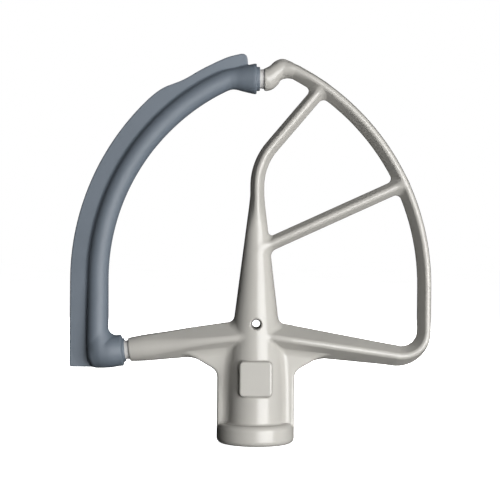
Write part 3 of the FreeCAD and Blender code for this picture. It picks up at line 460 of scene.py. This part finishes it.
# ---------------------------------------------------------------- skinning
def skin(name, field, lo, hi, h, steps=2):
    """Even quad skin over a field, with its corners and normals set by the field itself."""
    lo, hi = np.array(lo, float), np.array(hi, float)
    c = 4
    nb = np.ceil((hi - lo) / (h * c)).astype(int) + 1
    blocks = np.indices(nb).reshape(3, -1).T
    mid = lo + (blocks * c + (c - 1) / 2) * h
    rough = field(mid)
    grid = np.repeat(np.repeat(np.repeat(rough.reshape(nb), c, 0), c, 1), c, 2)
    near = blocks[np.abs(rough) < 0.87 * c * h + 2.2 * h + 0.5]
    off = np.indices((c, c, c)).reshape(3, -1).T
    cells = (near[:, None, :] * c + off[None]).reshape(-1, 3)
    for start in range(0, len(cells), 200000):
        part = cells[start:start + 200000]
        grid[part[:, 0], part[:, 1], part[:, 2]] = field(lo + part * h)
    neg = grid < 0
    n = np.array(grid.shape) - 1
    count = np.zeros(n, np.int8)
    corners = [(i, j, k) for i in (0, 1) for j in (0, 1) for k in (0, 1)]
    for i, j, k in corners:
        count += neg[i:n[0] + i, j:n[1] + j, k:n[2] + k]
    active = (count > 0) & (count < 8)
    idx = np.argwhere(active)
    vid = np.full(n, -1, np.int64)
    vid[active] = np.arange(len(idx))
    acc, num = np.zeros((len(idx), 3)), np.zeros(len(idx))
    for a in corners:
        for ax in range(3):
            if a[ax]:
                continue
            b = list(a)
            b[ax] = 1
            pa, pb = idx + np.array(a), idx + np.array(b)
            da, db = grid[tuple(pa.T)], grid[tuple(pb.T)]
            cut = (da < 0) != (db < 0)
            t = np.where(cut, da / np.where(cut, da - db, 1), 0)
            spot = np.array(a, float) + t[:, None] * (np.array(b) - np.array(a))
            acc += np.where(cut[:, None], spot, 0)
            num += cut
    verts = lo + h * (idx + acc / num[:, None])
    quads = []
    for ax in range(3):
        o1, o2 = [q for q in range(3) if q != ax]
        sl_a = [slice(1, n[q]) for q in range(3)]
        sl_a[ax] = slice(0, n[ax])
        sl_b = list(sl_a)
        sl_b[ax] = slice(1, n[ax] + 1)
        flip = neg[tuple(sl_a)] != neg[tuple(sl_b)]
        e = np.argwhere(flip)
        e[:, o1] += 1
        e[:, o2] += 1
        first = neg[tuple(e.T)]
        ring = []
        for d1, d2 in ((-1, -1), (0, -1), (0, 0), (-1, 0)):
            q = e.copy()
            q[:, o1] += d1
            q[:, o2] += d2
            ring.append(vid[tuple(q.T)])
        ring = np.array(ring).T
        turn = first if ax != 1 else ~first
        ring[~turn] = ring[~turn][:, ::-1]
        quads.append(ring)
    quads = np.vstack(quads)

    def slope(v, step=0.02):
        g = np.zeros_like(v)
        d = np.zeros(len(v))
        for s in ((1, -1, -1), (-1, -1, 1), (-1, 1, -1), (1, 1, 1)):
            s = np.array(s, float)
            f = field(v + s * step)
            g += f[:, None] * s
            d += f / 4
        return d, g / (4 * step)

    for _ in range(steps):
        d, g = slope(verts)
        g2 = np.maximum((g * g).sum(1), 0.2)
        verts -= np.clip(d / g2, -0.5 * h, 0.5 * h)[:, None] * g
    mesh = bpy.data.meshes.new(name)
    mesh.vertices.add(len(verts))
    mesh.vertices.foreach_set("co", (verts / 1000.0).astype(np.float32).ravel())
    mesh.loops.add(len(quads) * 4)
    mesh.loops.foreach_set("vertex_index", quads.astype(np.int32).ravel())
    mesh.polygons.add(len(quads))
    mesh.polygons.foreach_set("loop_start", np.arange(0, len(quads) * 4, 4, dtype=np.int32))
    mesh.polygons.foreach_set("use_smooth", np.ones(len(quads), bool))
    mesh.update(calc_edges=True)
    mesh.validate()
    bm = bmesh.new()
    bm.from_mesh(mesh)
    bmesh.ops.remove_doubles(bm, verts=bm.verts, dist=2e-5)
    bm.to_mesh(mesh)
    bm.free()
    spots = np.empty(len(mesh.vertices) * 3)
    mesh.vertices.foreach_get("co", spots)
    _, g = slope(spots.reshape(-1, 3) * 1000.0, 0.04)
    normals = g / np.maximum(np.linalg.norm(g, axis=1), 1e-6)[:, None]
    mesh.normals_split_custom_set_from_vertices([tuple(v) for v in normals])
    obj = bpy.data.objects.new(name, mesh)
    scene.collection.objects.link(obj)
    print(name, len(verts), "corners", len(quads) * 2, "triangles")
    return obj


casting = skin("casting_skin", casting_field, (-76, -29.5 * CAST_PITCH, -1.33), (80, 18.5, 174), CAST_PITCH)
edge = skin("edge_skin", edge_field, (-85.5, -8.2, 31), (2.2, 8.2, 176.5), EDGE_PITCH)
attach(casting, "root")
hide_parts("beater_frame")
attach(edge, "root")
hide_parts("flex_edge")

# ---------------------------------------------------------------- materials
def new_material(name):
    mat = bpy.data.materials.new(name)
    mat.use_nodes = True
    tree = mat.node_tree
    tree.nodes.clear()
    out = tree.nodes.new("ShaderNodeOutputMaterial")
    bsdf = tree.nodes.new("ShaderNodeBsdfPrincipled")
    tree.links.new(bsdf.outputs["BSDF"], out.inputs["Surface"])
    return mat, tree, bsdf


def node(tree, kind, **inputs):
    n = tree.nodes.new(kind)
    for key, value in inputs.items():
        n.inputs[key.replace("_", " ")].default_value = value
    return n


def noise(tree, coords, scale, detail=3.0, roughness=0.5):
    n = tree.nodes.new("ShaderNodeTexNoise")
    n.inputs["Scale"].default_value = scale
    n.inputs["Detail"].default_value = detail
    n.inputs["Roughness"].default_value = roughness
    tree.links.new(coords, n.inputs["Vector"])
    return n.outputs["Fac"]


def ramp(tree, value, stops):
    r = tree.nodes.new("ShaderNodeValToRGB")
    els = r.color_ramp.elements
    while len(els) < len(stops):
        els.new(0.5)
    for el, (pos, col) in zip(els, stops):
        el.position = pos
        el.color = (*col, 1.0)
    tree.links.new(value, r.inputs["Fac"])
    return r.outputs["Color"]


def bump(tree, height, strength, distance, below=None):
    b = tree.nodes.new("ShaderNodeBump")
    b.inputs["Strength"].default_value = strength
    b.inputs["Distance"].default_value = distance
    tree.links.new(height, b.inputs["Height"])
    if below is not None:
        tree.links.new(below, b.inputs["Normal"])
    return b.outputs["Normal"]


def rough_from(tree, value, low, high):
    m = tree.nodes.new("ShaderNodeMapRange")
    m.inputs["To Min"].default_value = low
    m.inputs["To Max"].default_value = high
    tree.links.new(value, m.inputs["Value"])
    return m.outputs["Result"]


def coated_casting():
    """Pale warm grey satin coat on a casting: even colour with a very fine grain."""
    mat, tree, bsdf = new_material("coated_casting")
    coords = tree.nodes.new("ShaderNodeTexCoord").outputs["Object"]
    cloud = noise(tree, coords, 38.0, 3.0, 0.5)
    grain = noise(tree, coords, 2600.0, 2.0, 0.6)
    col = ramp(tree, cloud, [(0.30, (0.385, 0.374, 0.348)), (0.70, (0.408, 0.396, 0.368))])
    tree.links.new(col, bsdf.inputs["Base Color"])
    tree.links.new(rough_from(tree, grain, 0.22, 0.29), bsdf.inputs["Roughness"])
    bsdf.inputs["Metallic"].default_value = 0.0
    bsdf.inputs["IOR"].default_value = 1.5
    bsdf.inputs["Specular IOR Level"].default_value = 0.47
    peel = noise(tree, coords, 420.0, 2.0, 0.5)
    n1 = bump(tree, peel, 0.04, 0.0004)
    tree.links.new(bump(tree, grain, 0.06, 0.0001, n1), bsdf.inputs["Normal"])
    return mat


def soft_rubber():
    """Blue-grey soft rubber, matt, with a faint moulded grain."""
    mat, tree, bsdf = new_material("soft_edge")
    coords = tree.nodes.new("ShaderNodeTexCoord").outputs["Object"]
    cloud = noise(tree, coords, 45.0, 4.0, 0.55)
    grain = noise(tree, coords, 3000.0, 2.0, 0.6)
    col = ramp(tree, cloud, [(0.30, (0.103, 0.1255, 0.152)), (0.70, (0.115, 0.139, 0.168))])
    tree.links.new(col, bsdf.inputs["Base Color"])
    tree.links.new(rough_from(tree, grain, 0.56, 0.64), bsdf.inputs["Roughness"])
    bsdf.inputs["IOR"].default_value = 1.5
    bsdf.inputs["Specular IOR Level"].default_value = 0.7
    tree.links.new(bump(tree, grain, 0.08, 0.00012), bsdf.inputs["Normal"])
    return mat


casting_mat = coated_casting()
rubber_mat = soft_rubber()


def pale_neck_skin():
    """Lighter, smoother skin on the two necks beside the soft edge."""
    mat, tree, bsdf = new_material("pale_neck_skin")
    coords = tree.nodes.new("ShaderNodeTexCoord").outputs["Object"]
    cloud = noise(tree, coords, 60.0, 3.0, 0.5)
    col = ramp(tree, cloud, [(0.30, (0.44, 0.43, 0.42)), (0.70, (0.48, 0.47, 0.46))])
    tree.links.new(col, bsdf.inputs["Base Color"])
    tree.links.new(rough_from(tree, noise(tree, coords, 2200.0, 2.0), 0.24, 0.32), bsdf.inputs["Roughness"])
    tree.links.new(bump(tree, noise(tree, coords, 900.0, 2.0), 0.05, 0.0001), bsdf.inputs["Normal"])
    return mat


neck_mat = pale_neck_skin()


def paint(obj, mat):
    obj.data.materials.clear()
    obj.data.materials.append(mat)


def paint_necks(obj):
    """Second material on the faces of the two necks, outside the end faces of the bosses."""
    obj.data.materials.append(neck_mat)
    count = len(obj.data.polygons)
    mid = np.zeros(count * 3)
    obj.data.polygons.foreach_get("center", mid)
    mid = mid.reshape(-1, 3) * 1000.0
    up = (mid[:, 2] > 155) & (mid[:, 0] < BOSS_X - 0.06) & (np.abs(mid[:, 2] - BOSS_Z) < 4.6)
    t, r = along(mid, LEFT_END, -U_NECK)
    low = (t > 0.1) & (r < 4.6) & (mid[:, 0] < LEFT_END[0] + 0.3) & (mid[:, 2] < 48)
    index = np.where(up | low, 1, 0).astype(np.int32)
    obj.data.polygons.foreach_set("material_index", index)


paint(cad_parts["beater_frame"], casting_mat)
paint(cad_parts["flex_edge"], rubber_mat)
paint(casting, casting_mat)
paint_necks(casting)
paint(edge, rubber_mat)

# ---------------------------------------------------------------- floor
bpy.ops.mesh.primitive_plane_add(size=9.0, location=(0, 2.6, 0.0))
floor = bpy.context.object
floor.name = "studio_floor"
fmat, ftree, fb = new_material("studio_floor")
fcoords = ftree.nodes.new("ShaderNodeTexCoord").outputs["Object"]
fcol = ramp(ftree, noise(ftree, fcoords, 6.0, 2.0), [(0.3, (0.95, 0.95, 0.95)), (0.7, (0.97, 0.97, 0.97))])
ftree.links.new(fcol, fb.inputs["Base Color"])
ftree.links.new(fcol, fb.inputs["Emission Color"])
fb.inputs["Emission Strength"].default_value = 1.04
fb.inputs["Roughness"].default_value = 0.9
fb.inputs["Specular IOR Level"].default_value = 0.1
floor.data.materials.append(fmat)
floor.visible_glossy = False
floor.visible_shadow = False
floor.visible_diffuse = False

# ---------------------------------------------------------------- light
world = bpy.data.worlds.new("studio")
scene.world = world
world.use_nodes = True
wt = world.node_tree
wt.nodes.clear()
wo = wt.nodes.new("ShaderNodeOutputWorld")
wb = wt.nodes.new("ShaderNodeBackground")
wb.inputs["Color"].default_value = (1.0, 1.0, 1.0, 1.0)
wb.inputs["Strength"].default_value = 1.0
wt.links.new(wb.outputs["Background"], wo.inputs["Surface"])
world.cycles_visibility.diffuse = False
world.cycles_visibility.glossy = False

CENTRE = Vector((0.0, 0.0, 0.085))


def softbox(name, azimuth, elevation, distance, width, height, power, color=(1, 1, 1)):
    """Area light aimed at the object. Azimuth is from the camera's side towards +X."""
    az, el = math.radians(azimuth), math.radians(elevation)
    out = Vector((math.sin(az) * math.cos(el), -math.cos(az) * math.cos(el), math.sin(el)))
    data = bpy.data.lights.new(name, "AREA")
    data.shape = "RECTANGLE"
    data.size = width
    data.size_y = height
    data.energy = power
    data.color = color
    obj = bpy.data.objects.new(name, data)
    scene.collection.objects.link(obj)
    obj.location = CENTRE + out * distance
    obj.rotation_euler = (-out).to_track_quat("-Z", "Y").to_euler()
    obj.visible_camera = False
    return obj


softbox("key", 31, 3, 0.75, 0.63, 0.68, 10.9)
softbox("front", -6, -2, 1.6, 1.5, 1.2, 1.6)
softbox("right_card", 85, 8, 1.0, 0.5, 0.9, 0.5)
softbox("left_fill", -60, 4, 1.4, 0.8, 1.0, 0.3)
softbox("back", 180, 20, 1.0, 0.60, 0.16, 13.0).visible_glossy = False
softbox("top", 180, 80, 1.2, 0.7, 0.4, 0.3)

# ---------------------------------------------------------------- camera
cam_data = bpy.data.cameras.new("photo_camera")
cam_data.sensor_width = 36.0
cam_data.lens = 95.5
cam_data.clip_start = 0.01
cam_data.clip_end = 20.0
cam = bpy.data.objects.new("photo_camera", cam_data)
scene.collection.objects.link(cam)
cam.matrix_world = (
    Matrix.Translation((-0.00304, -0.597, 0.0864))
    @ Matrix.Rotation(math.radians(90), 4, "X")
    @ Matrix.Rotation(math.radians(0.5), 4, "Z")
)
scene.camera = cam

scene.view_settings.view_transform = "Standard"
scene.view_settings.look = "None"
